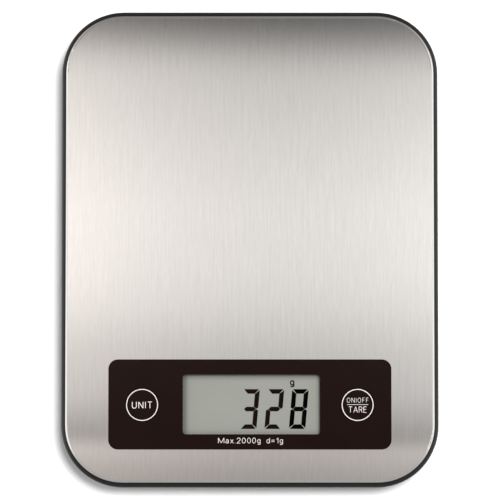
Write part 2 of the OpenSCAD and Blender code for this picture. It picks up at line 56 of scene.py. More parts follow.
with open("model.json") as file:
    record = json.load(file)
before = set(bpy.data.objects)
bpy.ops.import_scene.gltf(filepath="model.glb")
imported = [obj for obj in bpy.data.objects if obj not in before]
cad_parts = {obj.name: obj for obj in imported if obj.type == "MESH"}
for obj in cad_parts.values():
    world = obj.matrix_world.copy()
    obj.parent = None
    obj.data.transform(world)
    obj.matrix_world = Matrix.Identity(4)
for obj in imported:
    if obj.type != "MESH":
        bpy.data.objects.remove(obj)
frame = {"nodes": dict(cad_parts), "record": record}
cad_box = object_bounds()
scene = bpy.context.scene

# ---- Camera ---------------------------------------------------------------------------------

# Almost straight above, and aimed close to the middle of the platform
CAMERA_DISTANCE = 0.900
CAMERA_ELEVATION = math.radians(87.4)
CAMERA_TARGET = Vector((0.05 * MM, -0.65 * MM, cad_box[1].z))
FOCAL_MM, SENSOR_MM = 168.0, 36.0


def make_camera():
    data = bpy.data.cameras.new("camera")
    data.lens, data.sensor_width = FOCAL_MM, SENSOR_MM
    camera = bpy.data.objects.new("camera", data)
    back = Vector((0.0, -math.cos(CAMERA_ELEVATION), math.sin(CAMERA_ELEVATION)))
    camera.location = CAMERA_TARGET + back * CAMERA_DISTANCE
    camera.rotation_euler = (math.pi / 2 - CAMERA_ELEVATION, 0.0, 0.0)
    scene.collection.objects.link(camera)
    scene.camera = camera


make_camera()

# ---- Shader helpers -------------------------------------------------------------------------

# Where a Mix node keeps its two colours and their result, among sockets of other types
MIX_A, MIX_B, MIX_RESULT = 6, 7, 2
# At a scale of 1, the phase of a wave texture grows by this many radians in each unit
WAVE_TURN = 20


class Wiring:
    """Short helpers that add nodes to one tree and join them."""

    def __init__(self, tree):
        self.tree = tree

    def node(self, kind, **settings):
        made = self.tree.nodes.new(kind)
        for name, value in settings.items():
            setattr(made, name, value)
        return made

    def link(self, output, socket):
        self.tree.links.new(output, socket)

    def put(self, value, socket):
        """Sets a socket to a number, or links another node's output to it."""
        if isinstance(value, bpy.types.NodeSocket):
            self.link(value, socket)
        else:
            socket.default_value = value

    def math(self, operation, *values):
        made = self.node("ShaderNodeMath", operation=operation)
        for value, socket in zip(values, made.inputs):
            self.put(value, socket)
        return made.outputs["Value"]

    def scaled(self, value, low, high, start=0.3, end=0.7, kind="LINEAR"):
        """Maps start..end of a value to low..high, and holds it at those beyond."""
        made = self.node("ShaderNodeMapRange", interpolation_type=kind)
        for name, number in (("From Min", start), ("From Max", end), ("To Min", low), ("To Max", high)):
            self.put(number, made.inputs[name])
        self.link(value, made.inputs["Value"])
        return made.outputs["Result"]

    def eased(self, value, start, end, low, high):
        """Goes smoothly from low to high as the value goes from start to end."""
        return self.scaled(value, low, high, start, end, kind="SMOOTHSTEP")


class Shader(Wiring):
    """A node material with one Principled BSDF, and helpers for the patterns that feed it."""

    def __init__(self, name, colour, roughness, **sockets):
        self.material = bpy.data.materials.new(name)
        self.material.use_nodes = True
        super().__init__(self.material.node_tree)
        self.bsdf = next(n for n in self.tree.nodes if n.type == "BSDF_PRINCIPLED")
        self.set("Base Color", (*colour, 1.0))
        self.set("Roughness", roughness)
        for socket, value in sockets.items():
            self.set(socket.replace("_", " "), value)
        self.place = self.node("ShaderNodeTexCoord").outputs["Object"]
        self.material.diffuse_color = (*colour, 1.0)

    def set(self, socket, value):
        self.bsdf.inputs[socket].default_value = value

    def feed(self, socket, output):
        self.link(output, self.bsdf.inputs[socket])

    def noise(self, size, stretch=(1, 1, 1), detail=3.0, rough=0.5):
        """Noise whose grains measure size times stretch, in metres; its output runs from 0 to 1."""
        mapping = self.node("ShaderNodeMapping")
        mapping.inputs["Scale"].default_value = [1 / (size * s) for s in stretch]
        self.link(self.place, mapping.inputs["Vector"])
        made = self.node("ShaderNodeTexNoise")
        made.inputs["Scale"].default_value = 1.0
        made.inputs["Detail"].default_value = detail
        made.inputs["Roughness"].default_value = rough
        self.link(mapping.outputs["Vector"], made.inputs["Vector"])
        return made.outputs["Fac"]

    def cell_edges(self, size):
        """How far a point lies from the edge of its Voronoi cell, in cells; the size is in metres."""
        made = self.node("ShaderNodeTexVoronoi", feature="DISTANCE_TO_EDGE")
        made.inputs["Scale"].default_value = 1 / size
        self.link(self.place, made.inputs["Vector"])
        return made.outputs["Distance"]

    def bands(self, step, distortion=0.0):
        """Soft stripes across X, as a sine that turns one radian in each step, in metres."""
        made = self.node("ShaderNodeTexWave", wave_type="BANDS", bands_direction="X")
        made.inputs["Scale"].default_value = 1 / (WAVE_TURN * step)
        made.inputs["Distortion"].default_value = distortion
        self.link(self.place, made.inputs["Vector"])
        return made.outputs["Fac"]

    def axes(self):
        """The place on the piece as three outputs, X, Y and Z, in metres."""
        made = self.node("ShaderNodeSeparateXYZ")
        self.link(self.place, made.inputs["Vector"])
        return made.outputs

    def mixed(self, fac, first, second):
        """A colour that goes from first to second; each is a colour or another node's output."""
        made = self.node("ShaderNodeMix", data_type="RGBA")
        self.link(fac, made.inputs["Factor"])
        for index, colour in ((MIX_A, first), (MIX_B, second)):
            plain = not isinstance(colour, bpy.types.NodeSocket)
            self.put((*colour, 1.0) if plain else colour, made.inputs[index])
        return made.outputs[MIX_RESULT]

    def darkened(self, colour, share):
        """A colour output times another output."""
        made = self.node("ShaderNodeMix", data_type="RGBA", blend_type="MULTIPLY")
        made.inputs["Factor"].default_value = 1.0
        self.link(colour, made.inputs[MIX_A])
        self.link(share, made.inputs[MIX_B])
        return made.outputs[MIX_RESULT]

    def tint(self, pattern, colour, swing):
        """Base colour that the pattern darkens and lightens by swing, as a share."""
        dark, light = ([c * (1 + s) for c in colour] for s in (-swing, swing))
        self.feed("Base Color", self.mixed(pattern, dark, light))

    def bump(self, height, distance, under=None):
        """Normals of a surface that the pattern raises by the distance, over another bump if one is given."""
        made = self.node("ShaderNodeBump")
        made.inputs["Strength"].default_value = 1.0
        made.inputs["Distance"].default_value = distance
        self.link(height, made.inputs["Height"])
        if under is not None:
            self.link(under, made.inputs["Normal"])
        return made.outputs["Normal"]


def moulded(name, colour, roughness, grain=0.25 * MM, depth=0.006 * MM, swing=0.08, **sockets):
    """Moulded plastic: eroded-tool texture, with slow drifts of colour and gloss."""
    s = Shader(name, colour, roughness, **sockets)
    fine = s.noise(grain, detail=2.0, rough=0.6)
    slow = s.noise(18 * MM, detail=2.0)
    s.tint(s.scaled(slow, 0, 1), colour, swing)
    s.feed("Roughness", s.scaled(fine, roughness - 0.05, roughness + 0.06))
    s.feed("Normal", s.bump(fine, depth))
    return s.material


def rubbery(name, colour):
    """Matt rubber with a fine grain and a little dust."""
    s = Shader(name, colour, 0.7, Specular_IOR_Level=0.3)
    fine = s.noise(0.12 * MM, detail=3.0, rough=0.7)
    dust = s.noise(3 * MM, detail=4.0)
    dusty = [c * 1.4 + 0.002 for c in colour]
    s.feed("Base Color", s.mixed(s.scaled(dust, 0, 1, 0.45, 0.75), colour, dusty))
    s.feed("Roughness", s.scaled(fine, 0.62, 0.78))
    s.feed("Normal", s.bump(fine, 0.01 * MM))
    return s.material


def plated(name, colour, roughness, stretch=(1, 1, 1)):
    """Bare or plated metal with fine handling marks."""
    s = Shader(name, colour, roughness, Metallic=1.0)
    marks = s.noise(0.3 * MM, stretch, detail=4.0, rough=0.6)
    stain = s.noise(4 * MM, detail=3.0)
    s.tint(s.scaled(stain, 0, 1), colour, 0.07)
    s.feed("Roughness", s.scaled(marks, roughness - 0.07, roughness + 0.09))
    s.feed("Normal", s.bump(marks, 0.004 * MM))
    return s.material


# ---- Materials ------------------------------------------------------------------------------


def brushed_steel():
    """Fine straight brush marks along Y: the reflection spreads across them and stays sharp along them."""
    colour = (0.74, 0.715, 0.690)
    s = Shader("brushed_steel", colour, 0.105, Metallic=1.0, Anisotropic=1.0)
    marks = s.noise(0.52 * MM, (1, 8, 1), detail=2.0, rough=0.5)
    lines = s.noise(0.75 * MM, (1, 28, 1), detail=2.0, rough=0.6)
    brush = s.scaled(s.math("ADD", marks, lines), 0, 1, 0.6, 1.4)
    s.tint(brush, colour, 0.04)
    s.feed("Roughness", s.scaled(lines, 0.10, 0.11))
    s.feed("Normal", s.bump(marks, 0.001 * MM))
    across = s.node("ShaderNodeCombineXYZ")
    across.inputs["X"].default_value = 1.0
    s.feed("Tangent", across.outputs["Vector"])
    return s.material


def gloss_panel():
    """Near-black glossy sheet with the faintest smears."""
    colour = (0.0073, 0.0024, 0.0017)
    s = Shader("gloss_panel", colour, 0.09, Specular_IOR_Level=0.12)
    smear = s.noise(9 * MM, detail=3.0)
    fine = s.noise(0.6 * MM, detail=4.0, rough=0.7)
    s.tint(s.scaled(smear, 0, 1), colour, 0.10)
    s.feed("Roughness", s.scaled(fine, 0.06, 0.13))
    s.feed("Normal", s.bump(fine, 0.0003 * MM))
    return s.material


def clear_pane(name, tint, ior=1.45):
    """Thin clear sheet: what lies behind shows through, and only the side turned to the viewer mirrors."""
    s = Shader(name, tint, 0.04)
    fresnel = s.node("ShaderNodeFresnel")
    fresnel.inputs["IOR"].default_value = ior
    through = s.node("ShaderNodeBsdfTransparent")
    through.inputs["Color"].default_value = (*tint, 1.0)
    fine = s.noise(0.8 * MM, detail=3.0)
    s.feed("Roughness", s.scaled(fine, 0.02, 0.07))
    s.set("Base Color", (0.02, 0.02, 0.02, 1.0))
    side = s.node("ShaderNodeNewGeometry")
    facing = s.scaled(side.outputs["Backfacing"], 1.0, 0.0, 0.0, 1.0)
    mix = s.node("ShaderNodeMixShader")
    s.link(s.math("MULTIPLY", fresnel.outputs["Fac"], facing), mix.inputs["Fac"])
    s.link(through.outputs["BSDF"], mix.inputs[1])
    s.link(s.bsdf.outputs["BSDF"], mix.inputs[2])
    output = next(n for n in s.tree.nodes if n.type == "OUTPUT_MATERIAL")
    s.link(mix.outputs["Shader"], output.inputs["Surface"])
    return s.material


def display_film(name, colour):
    """Grey-green reflective film: the even sparkle of a matt foil, with painted shade along the window's
    edge, where the frame would keep light off it, mostly along its top and left."""
    s = Shader(name, colour, 0.5, Specular_IOR_Level=0.1)
    sparkle = s.noise(0.11 * MM, detail=1.0)
    cloud = s.noise(14 * MM, detail=2.0)
    base = s.mixed(s.scaled(cloud, 0, 1), [c * 0.985 for c in colour], [c * 1.015 for c in colour])
    speckled = s.mixed(s.scaled(sparkle, 0.0, 0.10), base, [c * 1.3 for c in colour])
    low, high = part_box("display_window")
    # The window reaches this far under the panel, so its opening starts here
    rim = 1.6 * MM
    # Painted shade at the back, left, right and front: axis, edge, how far in it reaches and the share left
    # at the edge
    painted_shades = ((1, high.y - rim, -2.6 * MM, 0.60), (0, low.x + rim, 2.5 * MM, 0.50),
              (0, high.x - rim, -1.8 * MM, 0.78), (1, low.y + rim, 1.8 * MM, 0.86))
    place = s.axes()
    for axis, edge, inward, left in painted_shades:
        speckled = s.darkened(speckled, s.eased(place[axis], edge, edge + inward, left, 1.0))
    s.feed("Base Color", speckled)
    s.feed("Roughness", s.scaled(sparkle, 0.42, 0.58))
    return s.material


def ink(name, colour, level=0.15):
    """Screen-printed ink with a faint mesh in its gloss."""
    s = Shader(name, colour, 0.45, Specular_IOR_Level=level)
    mesh = s.noise(0.09 * MM, detail=2.0)
    s.tint(s.scaled(mesh, 0, 1), colour, 0.04)
    s.feed("Roughness", s.scaled(mesh, 0.39, 0.51))
    s.feed("Normal", s.bump(mesh, 0.001 * MM))
    return s.material


def circuit_board():
    """Solder mask over copper tracks: the tracks show as slightly raised, lighter green lines."""
    green, track = (0.012, 0.085, 0.030), (0.030, 0.150, 0.055)
    s = Shader("circuit_board", green, 0.35)
    lines = s.scaled(s.cell_edges(2.6 * MM), 1.0, 0.0, 0.05, 0.09)
    weave = s.noise(0.5 * MM, detail=2.0)
    s.feed("Base Color", s.mixed(lines, green, track))
    s.feed("Roughness", s.scaled(weave, 0.28, 0.42))
    s.feed("Normal", s.bump(lines, 0.03 * MM, under=s.bump(weave, 0.004 * MM)))
    return s.material


def zebra_rubber():
    """Alternate stripes of red silicone and black carbon along the strip."""
    s = Shader("zebra_rubber", (0.5, 0.12, 0.14), 0.6)
    stripes = s.bands(0.1 * MM, distortion=0.2)
    s.feed("Base Color", s.mixed(stripes, (0.015, 0.012, 0.012), (0.62, 0.20, 0.22)))
    return s.material


def cell_jacket():
    """Printed jacket: a dark body with a copper band at the end towards +X."""
    s = Shader("cell_jacket", (0.02, 0.06, 0.12), 0.3, Coat_Weight=0.4, Coat_Roughness=0.1)
    scuff = s.noise(1.2 * MM, (4, 1, 1), detail=4.0)
    band = s.scaled(s.axes()["X"], 0.0, 1.0, 10 * MM, 10.2 * MM)
    body = s.mixed(s.scaled(scuff, 0, 1), (0.016, 0.05, 0.10), (0.028, 0.075, 0.14))
    s.feed("Base Color", s.mixed(band, body, (0.42, 0.22, 0.08)))
    s.feed("Roughness", s.scaled(scuff, 0.22, 0.36))
    return s.material


def wire_jacket():
    """PVC in red, black and white, which take turns across X."""
    red, black, white = (0.42, 0.02, 0.02), (0.02, 0.02, 0.02), (0.6, 0.6, 0.57)
    s = Shader("wire_jacket", (0.4, 0.4, 0.4), 0.45)
    share = s.math("FRACT", s.math("MULTIPLY", s.axes()["X"], 1 / (3.6 * MM)))
    dark = s.mixed(s.scaled(share, 0, 1, 0.32, 0.34), red, black)
    s.feed("Base Color", s.mixed(s.scaled(share, 0, 1, 0.65, 0.67), dark, white))
    fine = s.noise(0.3 * MM)
    s.feed("Roughness", s.scaled(fine, 0.38, 0.52))
    return s.material


def gauge_film():
    """Amber film over a foil grid."""
    s = Shader("gauge_film", (0.5, 0.25, 0.06), 0.3)
    grid = s.scaled(s.bands(0.4 * MM), 0, 1, 0.45, 0.55)
    s.feed("Base Color", s.mixed(grid, (0.45, 0.20, 0.04), (0.62, 0.42, 0.22)))
    s.feed("Roughness", s.scaled(s.noise(0.5 * MM), 0.2, 0.4))
    return s.material


MATERIALS = {
    "steel_plate": brushed_steel(),
    "adhesive_film": moulded("adhesive_film", (0.60, 0.56, 0.44), 0.6, grain=0.5 * MM),
    "casing_plastic": moulded("casing_plastic", (0.010, 0.0092, 0.0088), 0.40, depth=0.010 * MM,
                              Specular_IOR_Level=0.25),
    "panel_black": gloss_panel(),
    "window_clear": clear_pane("window_clear", (0.96, 0.97, 0.96), ior=1.12),
    "lcd_film": display_film("lcd_film", (0.278, 0.2715, 0.2535)),
    "lcd_glass": clear_pane("lcd_glass", (0.90, 0.93, 0.90)),
    "white_plastic": moulded("white_plastic", (0.70, 0.69, 0.65), 0.4),
    "zebra_rubber": zebra_rubber(),
    "circuit_board": circuit_board(),
    "black_epoxy": moulded("black_epoxy", (0.008, 0.008, 0.008), 0.2, grain=1.5 * MM),
    "chip_ceramic": moulded("chip_ceramic", (0.22, 0.17, 0.12), 0.4, swing=0.4),
    "screw_steel": plated("screw_steel", (0.55, 0.55, 0.56), 0.32),
    "switch_black": moulded("switch_black", (0.012, 0.012, 0.013), 0.4),
    "cell_jacket": cell_jacket(),
    "contact_metal": plated("contact_metal", (0.70, 0.68, 0.64), 0.2),
    "wire_jacket": wire_jacket(),
    "load_cell_steel": plated("load_cell_steel", (0.60, 0.61, 0.62), 0.3, stretch=(1, 30, 1)),
    "gauge_film": gauge_film(),
    "foot_plastic": moulded("foot_plastic", (0.028, 0.027, 0.028), 0.45),
    "pad_rubber": rubbery("pad_rubber", (0.014, 0.014, 0.014)),
}
WHITE_INK = ink("white_ink", (0.67, 0.625, 0.62))
# The last digit is blacker than the others
DARK_SEGMENT = ink("dark_segment", (0.0075, 0.0030, 0.0028), level=0.05)
BLACK_SEGMENT = ink("black_segment", (0.0006, 0.0006, 0.0006), level=0.02)


def dress_frame():
    """Gives every CAD node the material of its slot."""
    for part in frame["record"]["subparts"]:
        node = frame["nodes"][part["node"]]
        for slot in node.material_slots:
            slot.material = MATERIALS[part["material_slot"]]


dress_frame()

# ---- Printed legends and display segments ---------------------------------------------------

PRINT_HEIGHT = 0.012 * MM
SEGMENT_HEIGHT = 0.03 * MM
# Every other stroke of a legend starts this much higher, so that strokes that cross don't share a plane
STROKE_STEP = 0.002 * MM
# Points that are closer than this are one point
SAME_POINT = 0.001 * MM
PRINT_SAME_POINT = 0.0002 * MM
# A corner whose half turn has a smaller cosine than this gets no longer mitre
SHARPEST_MITRE = 0.5
# Below this cosine between two strokes, the pen doubles back and starts a new stroke
DOUBLES_BACK = -0.3


def solid(name, bm, material):
    """Turns a bmesh into a piece with that material and slot."""
    mesh = bpy.data.meshes.new(name)
    bm.to_mesh(mesh)
    bm.free()
    mesh.materials.append(material)
    piece = bpy.data.objects.new(name, mesh)
    scene.collection.objects.link(piece)
    return piece


def flat_piece(name, layers, thickness, material, body):
    """A thin flat piece. Each layer is a height and its faces, which are lists of (x, y) in metres."""
    bm = bmesh.new()
    for z, faces in layers:
        for face in faces:
            bm.faces.new([bm.verts.new((x, y, z)) for x, y in face])
    bmesh.ops.remove_doubles(bm, verts=bm.verts, dist=PRINT_SAME_POINT)
    raised = bmesh.ops.extrude_face_region(bm, geom=list(bm.faces))
    lifted = [v for v in raised["geom"] if isinstance(v, bmesh.types.BMVert)]
    bmesh.ops.translate(bm, verts=lifted, vec=(0, 0, thickness))
    bmesh.ops.recalc_face_normals(bm, faces=bm.faces)
    piece = solid(name, bm, material)
    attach(piece, body)


def arc(x, y, across, up, start, end, steps=14):
    """Points on an ellipse round (x, y), from one angle to another in degrees."""
    turns = (math.radians(start + (end - start) * i / steps) for i in range(steps + 1))
    return [(x + across * math.cos(t), y + up * math.sin(t)) for t in turns]


def ribbon(path, weight, closed=False):
    """The faces of a stroke of that weight along a path, mitred at its corners."""
    points = [Vector(p) for p in path]
    if closed:
        points = points[:-1]
    count = len(points)
    edges = []
    for i, point in enumerate(points):
        before = [points[i - 1]] if closed or i else []
        after = [points[(i + 1) % count]] if closed or i < count - 1 else []
        run = [*before, point, *after]
        ways = [(b - a).normalized() for a, b in zip(run, run[1:])]
        normals = [Vector((-way.y, way.x)) for way in ways]
        mitre = (normals[0] + normals[-1]).normalized()
        reach = weight / 2 / max(mitre.dot(normals[0]), SHARPEST_MITRE)
        edges.append((point + mitre * reach, point - mitre * reach))
    pairs = list(zip(edges, edges[1:] + edges[:1] if closed else edges[1:]))
    return [[tuple(a[0]), tuple(a[1]), tuple(b[1]), tuple(b[0])] for a, b in pairs]


ROUND = (0, 360)
# Centre lines of plain letters, in heights of a capital: width, then the strokes
LETTERS = {
    " ": (0.48, []),
    "U": (0.66, [[(0, 1)] + arc(0.33, 0.33, 0.33, 0.33, 180, 360) + [(0.66, 1)]]),
    "N": (0.68, [[(0, 0), (0, 1), (0.68, 0), (0.68, 1)]]),
    "I": (0.0, [[(0, 0), (0, 1)]]),
    "T": (0.66, [[(0, 1), (0.66, 1)], [(0.33, 1), (0.33, 0)]]),
    "O": (0.74, [arc(0.37, 0.5, 0.37, 0.5, *ROUND)]),
    "F": (0.50, [[(0.50, 1), (0, 1), (0, 0)], [(0, 0.53), (0.44, 0.53)]]),
    "A": (0.76, [[(0, 0), (0.38, 1), (0.76, 0)], [(0.13, 0.34), (0.63, 0.34)]]),
    "R": (0.62, [[(0, 0), (0, 1)] + arc(0.34, 0.75, 0.25, 0.25, 90, -90) + [(0, 0.5)],
                 [(0.34, 0.5), (0.62, 0)]]),
    "E": (0.54, [[(0.53, 1), (0, 1), (0, 0), (0.54, 0)], [(0, 0.53), (0.48, 0.53)]]),
    "M": (0.92, [[(0, 0), (0, 1), (0.46, 0.05), (0.92, 1), (0.92, 0)]]),
    "a": (0.46, [[(0.05, 0.53)] + arc(0.23, 0.50, 0.19, 0.20, 150, 0) + [(0.42, 0.10), (0.46, 0)],
                 [(0.42, 0.40), (0.22, 0.38)] + arc(0.18, 0.19, 0.18, 0.19, 90, 290) + [(0.42, 0.17)]]),
    "x": (0.46, [[(0, 0), (0.46, 0.70)], [(0, 0.70), (0.46, 0)]]),
    ".": (0.0, [[(0, -0.02), (0, 0.06)]]),
    "2": (0.56, [arc(0.28, 0.72, 0.27, 0.28, 175, -30) + [(0, 0), (0.56, 0)]]),
    "0": (0.54, [arc(0.27, 0.5, 0.27, 0.5, *ROUND)]),
    "1": (0.30, [[(0, 0.74), (0.18, 0.82), (0.28, 1), (0.28, 0)]]),
    "g": (0.44, [arc(0.22, 0.36, 0.22, 0.34, *ROUND),
                 [(0.44, 0.70), (0.44, -0.08)] + arc(0.22, -0.08, 0.22, 0.19, 0, -160)]),
    "d": (0.46, [arc(0.22, 0.35, 0.22, 0.35, *ROUND), [(0.46, 1), (0.46, 0)]]),
    "=": (0.50, [[(0, 0.30), (0.50, 0.30)], [(0, 0.58), (0.50, 0.58)]]),
}


def split_sharp(path):
    """The parts of a path between the corners where it doubles back, so that each is a clean stroke."""
    parts, part = [], [path[0]]
    for before, point, after in zip(path, path[1:], path[2:]):
        part.append(point)
        ways = (Vector(point) - Vector(before)).normalized(), (Vector(after) - Vector(point)).normalized()
        if ways[0].dot(ways[1]) < DOUBLES_BACK:
            parts.append(part)
            part = [point]
    return parts + [part + [path[-1]]]


def lettering(name, text, centre, width, height, weight, z, body, gap, material=WHITE_INK):
    """Plain stroked letters on one line, fitted to a width and to a height of capitals. The gap between
    letters is in the same units as LETTERS."""
    strokes, x = [], 0.0
    for letter in text:
        wide, paths = LETTERS[letter]
        strokes += [[(x + px, py) for px, py in part] for path in paths for part in split_sharp(path)]
        x += wide + gap
    across, up = (width - weight) / (x - gap), height - weight
    left, foot = centre[0] - width / 2 + weight / 2, centre[1] - height / 2 + weight / 2
    layers = []
    for i, path in enumerate(strokes):
        fitted = [(left + px * across, foot + py * up) for px, py in path]
        closed = math.dist(fitted[0], fitted[-1]) < SAME_POINT
        layers.append((z + i % 2 * STROKE_STEP, ribbon(fitted, weight, closed)))
    flat_piece(name, layers, PRINT_HEIGHT, material, body)


RING_RADIUS, RING_WEIGHT = 5.96 * MM, 0.33 * MM
# The line between the two words of the right key: half its length, and its thickness
DIVIDER_REACH, DIVIDER_WEIGHT = 4.10 * MM, 0.17 * MM


def key_legends():
    """A ring on each key, with one word in the left one and two words and a line in the right one."""
    for node, body in (("unit_key", "unit_button"), ("tare_key", "tare_button")):
        low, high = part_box(node)
        x, y, z = (low.x + high.x) / 2, (low.y + high.y) / 2, high.z
        circle = ribbon(arc(x, y, RING_RADIUS, RING_RADIUS, *ROUND, steps=96), RING_WEIGHT, closed=True)
        flat_piece(f"{body}_ring", [(z, circle)], PRINT_HEIGHT, WHITE_INK, body)
        if node == "unit_key":
            lettering("unit_legend", "UNIT", (x, y - 0.05 * MM), width=7.85 * MM, height=2.7 * MM,
                      weight=0.27 * MM, z=z, body=body, gap=0.38)
        else:
            lettering("on_off_legend", "ONIOFF", (x, y + 1.80 * MM), width=8.35 * MM, height=1.95 * MM,
                      weight=0.14 * MM, z=z, body=body, gap=0.40)
            lettering("tare_legend", "TARE", (x, y - 1.80 * MM), width=7.0 * MM, height=2.40 * MM,
                      weight=0.20 * MM, z=z, body=body, gap=0.28)
            level = y + 0.12 * MM
            line = ribbon([(x - DIVIDER_REACH, level), (x + DIVIDER_REACH, level)], DIVIDER_WEIGHT)
            flat_piece("tare_divider", [(z, line)], PRINT_HEIGHT, WHITE_INK, body)


def panel_legend():
    """The capacity line, near the panel's front edge."""
    low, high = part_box("display_panel")
    centre = ((low.x + high.x) / 2 + 0.25 * MM, low.y + 3.25 * MM)
    lettering("capacity_legend", "Max.2000g d=1g", centre, width=24.9 * MM, height=2.2 * MM,
              weight=0.19 * MM, z=high.z, body="casing", gap=0.3)


# Each digit's lit segments: a top, b and c right, d bottom, e and f left, g middle
LIT = {"2": "abged", "3": "abgcd", "8": "abcdefg"}
DIGIT_WIDTH, DIGIT_HEIGHT, SEGMENT = 6.35 * MM, 15.3 * MM, 1.74 * MM
DIGIT_SLANT = math.tan(math.radians(5))
DIGIT_PITCH = 9.42 * MM
# Bevel at a segment's outer corners, gap to its neighbours, and where a side segment starts to taper
SEGMENT_CUT, SEGMENT_GAP, SEGMENT_WAIST = 0.32 * MM, 0.07 * MM, 0.55 * MM
# From the window's middle: the middle of the last digit, and the middle of the unit's letter
LAST_DIGIT = Vector((18.25 * MM, -1.87 * MM))
GRAM_MARK = Vector((15.7 * MM, 8.55 * MM))


def segment_outlines():
    """Seven outlines round (0, 0), upright, with mitred ends and a fine gap between neighbours."""
    w, h, t = DIGIT_WIDTH / 2, DIGIT_HEIGHT / 2, SEGMENT
    cut, gap = SEGMENT_CUT, SEGMENT_GAP
    top = [(-w + cut, h), (w - cut, h), (w - t - gap, h - t), (-w + t + gap, h - t)]
    side = [(w, h - cut - gap), (w, SEGMENT_WAIST), (w - 0.45 * t, gap),
            (w - t, t / 2 + gap), (w - t, h - t - gap)]
    middle = [(-w + 0.5 * t, 0), (-w + t + gap / 2, t / 2), (w - t - gap / 2, t / 2),
              (w - 0.5 * t, 0), (w - t - gap / 2, -t / 2), (-w + t + gap / 2, -t / 2)]

    def flipped(outline, x, y):
        return [(x * px, y * py) for px, py in outline]

    return {"a": top, "b": side, "c": flipped(side, 1, -1), "d": flipped(top, 1, -1),
            "e": flipped(side, -1, -1), "f": flipped(side, -1, 1), "g": middle}


def display_digits():
    """The reading on the display film, from its last digit to its first, and the small unit mark over it."""
    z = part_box("lcd_polarizer")[1].z
    low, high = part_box("display_window")
    middle = ((low + high) / 2).xy
    last, mark = middle + LAST_DIGIT, middle + GRAM_MARK
    shapes = segment_outlines()
    for place, figure in enumerate("823"):
        x = last.x - place * DIGIT_PITCH
        faces = [[(x + px + py * DIGIT_SLANT, last.y + py) for px, py in shapes[segment]]
                 for segment in LIT[figure]]
        material = BLACK_SEGMENT if place == 0 else DARK_SEGMENT
        flat_piece(f"digit_{place}", [(z, faces)], SEGMENT_HEIGHT, material, "casing")
    lettering("gram_mark", "g", mark, width=1.75 * MM, height=2.85 * MM, weight=0.50 * MM, z=z,
              body="casing", gap=0.0, material=DARK_SEGMENT)


key_legends()
panel_legend()
display_digits()

# ---- Load cells -----------------------------------------------------------------------------

# From the foot's axis: into the slots beside the tongue, to its root, past its tip, to the stem's edge
TONGUE_SIDE, TONGUE_ROOT, TONGUE_TIP, STEM_EDGE = 6.0 * MM, 9.0 * MM, 5.1 * MM, 4.0 * MM
# Rings of points along the bending stretch
BEND_STEPS = 6
# Faces that turn less than this are one flat face, which is cut more cleanly than its triangles
FLAT = math.radians(1)


def cut_copy(node, levels, wanted):
    """A closed copy of the wanted faces of a CAD node, cut across at each of these levels in Y."""
    bm = bmesh.new()
    bm.from_mesh(frame["nodes"][node].data)
    bmesh.ops.remove_doubles(bm, verts=bm.verts, dist=SAME_POINT)
    bmesh.ops.dissolve_limit(bm, angle_limit=FLAT, verts=bm.verts, edges=bm.edges)
    for level in levels:
        everything = [*bm.verts, *bm.edges, *bm.faces]
        bmesh.ops.bisect_plane(bm, geom=everything, plane_co=(0, level, 0), plane_no=(0, 1, 0))
    bmesh.ops.delete(bm, geom=[f for f in bm.faces if not wanted(f.calc_center_median())], context="FACES")
    bmesh.ops.holes_fill(bm, edges=[e for e in bm.edges if e.is_boundary])
    bmesh.ops.triangulate(bm, faces=bm.faces)
    bmesh.ops.remove_doubles(bm, verts=bm.verts, dist=SAME_POINT)
    return bm


def load_cells():
    """Splits each load cell into the frame that the casing holds and the tongue, which is cut across in rings
    along its bending stretch, as is its strain gauge."""
    for corner in ("front_left", "front_right", "back_left", "back_right"):
        cell, gauge, foot = f"load_cell_{corner}", f"strain_gauge_{corner}", f"{corner}_foot"
        low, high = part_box(cell)
        middle = (low + high) / 2
        inward = -1 if middle.y > 0 else 1
        root, held = middle.y + inward * TONGUE_ROOT, middle.y + inward * STEM_EDGE
        bends = [root + (held - root) * i / BEND_STEPS for i in range(BEND_STEPS + 1)]

        def in_tongue(point):
            return (abs(point.x - middle.x) < TONGUE_SIDE
                    and -TONGUE_TIP < (point.y - middle.y) * inward < TONGUE_ROOT)

        steel, film = MATERIALS["load_cell_steel"], MATERIALS["gauge_film"]
        plate = solid(f"{cell}_frame", cut_copy(cell, [root], lambda point: not in_tongue(point)), steel)
        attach(plate, "casing")
        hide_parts(cell)
        tongue = solid(f"{cell}_tongue", cut_copy(cell, bends, in_tongue), steel)
        patch = solid(f"{gauge}_film", cut_copy(gauge, bends, lambda point: True), film)
        for piece, node in ((tongue, cell), (patch, gauge)):
            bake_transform(piece)
            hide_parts(node)


load_cells()

# ---- Studio ---------------------------------------------------------------------------------

CARD_HEIGHT, CARD_HALF_WIDTH = 1.65, 0.7
# Brightness of the overhead card from front to back, as (y in metres, value)
CARD_STEPS = ((-0.45, 0.33), (-0.19, 0.345), (-0.16, 0.45), (-0.139, 0.66), (-0.133, 0.205), (-0.118, 0.37),
              (-0.085, 0.55), (-0.035, 0.635), (0.01, 0.80), (0.053, 0.88), (0.115, 0.905), (0.183, 0.815),
              (0.262, 0.68), (0.28, 0.565), (0.303, 0.30), (0.325, 0.125), (0.60, 0.13))
# The card's front strip, up to this y, is a little pinker, and its left side a little warmer
FRONT_STRIP = -0.135
FRONT_TINT, LEFT_TINT = (1.02, 0.98, 0.965), (1.03, 0.992, 0.965)
# The card's bands run slightly askew, by this much y for each x
CARD_SLANT = 0.012
# Towards the back they also bow to both sides of this x, by this much y for each square metre
BOW_MIDDLE, CARD_BOW = 0.08, -0.09
# Its sides brighten from this x, by this much for each square metre, and no further than this far off
SIDE_MIDDLE, SIDE_GAIN, SIDE_LIMIT = 0.03, 8.0, 0.30

FLOOR_REACH = 6.0
# How far from the middle the floor starts to fade to white, and where it is white
FLOOR_FADE = (0.25, 0.80)


